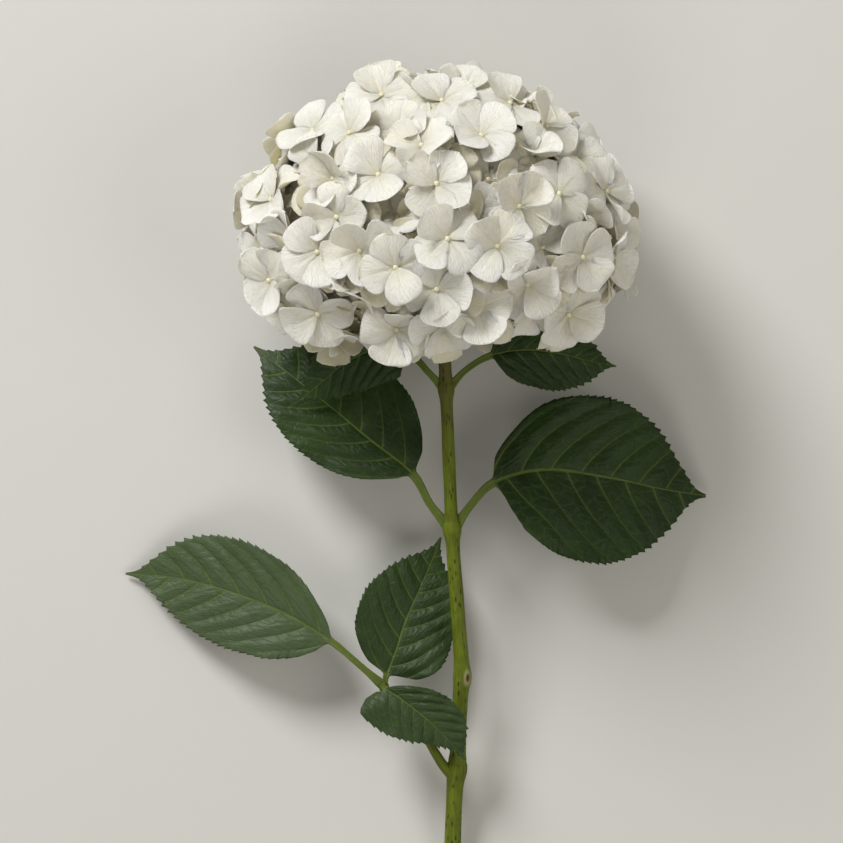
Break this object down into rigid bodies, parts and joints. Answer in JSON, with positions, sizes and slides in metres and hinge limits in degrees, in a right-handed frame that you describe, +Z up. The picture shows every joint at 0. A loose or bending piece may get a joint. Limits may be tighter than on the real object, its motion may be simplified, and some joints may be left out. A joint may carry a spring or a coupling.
{
  "type": "cut hydrangea",
  "caption": "Cut mophead hydrangea lying on its side: a domed head of cream four-sepalled florets, a green stem with a side shoot, and toothed leaves.",
  "frame": {"origin": "on the surface it lies on, under the middle of the whole flower", "axes": "+Z up from the surface, +Y along the stem from its cut end towards the flower head, +X to the right seen from above with the head at the far side"},
  "size_m": [0.2948, 0.4164, 0.1578],
  "materials": {
    "stem": "satin green stem skin",
    "leaf": "satin leaf surface with raised midrib and veins",
    "floret": "soft matt sepals, cream white, thin and translucent"
  },
  "bodies": {
    "root": {"cyme_01": "floret", "cyme_02": "floret", "cyme_03": "floret", "cyme_04": "floret", "cyme_05": "floret", "cyme_06": "floret", "cyme_07": "floret", "cyme_08": "floret", "cyme_09": "floret", "cyme_10": "floret", "cyme_11": "floret", "cyme_12": "floret", "cyme_13": "floret", "cyme_14": "floret", "cyme_15": "floret", "cyme_16": "floret", "cyme_17": "floret", "cyme_18": "floret", "cyme_19": "floret", "cyme_20": "floret", "cyme_21": "floret", "cyme_22": "floret", "cyme_23": "floret", "cyme_24": "floret", "cyme_25": "floret", "cyme_26": "floret", "cyme_27": "floret", "cyme_28": "floret", "cyme_29": "floret", "cyme_30": "floret", "cyme_31": "floret", "cyme_32": "floret", "cyme_33": "floret", "cyme_34": "floret", "cyme_35": "floret", "cyme_36": "floret", "cyme_37": "floret", "cyme_38": "floret", "cyme_39": "floret", "cyme_40": "floret", "cyme_41": "floret", "cyme_42": "floret", "flower_branches": "stem", "leaf_middle_left": "leaf", "leaf_middle_right": "leaf", "leaf_shoot_left": "leaf", "leaf_shoot_right": "leaf", "leaf_shoot_upright": "leaf", "leaf_upper_left": "leaf", "leaf_upper_right": "leaf", "main_stem": "stem", "side_shoot": "stem"}
  },
  "joints": []
}
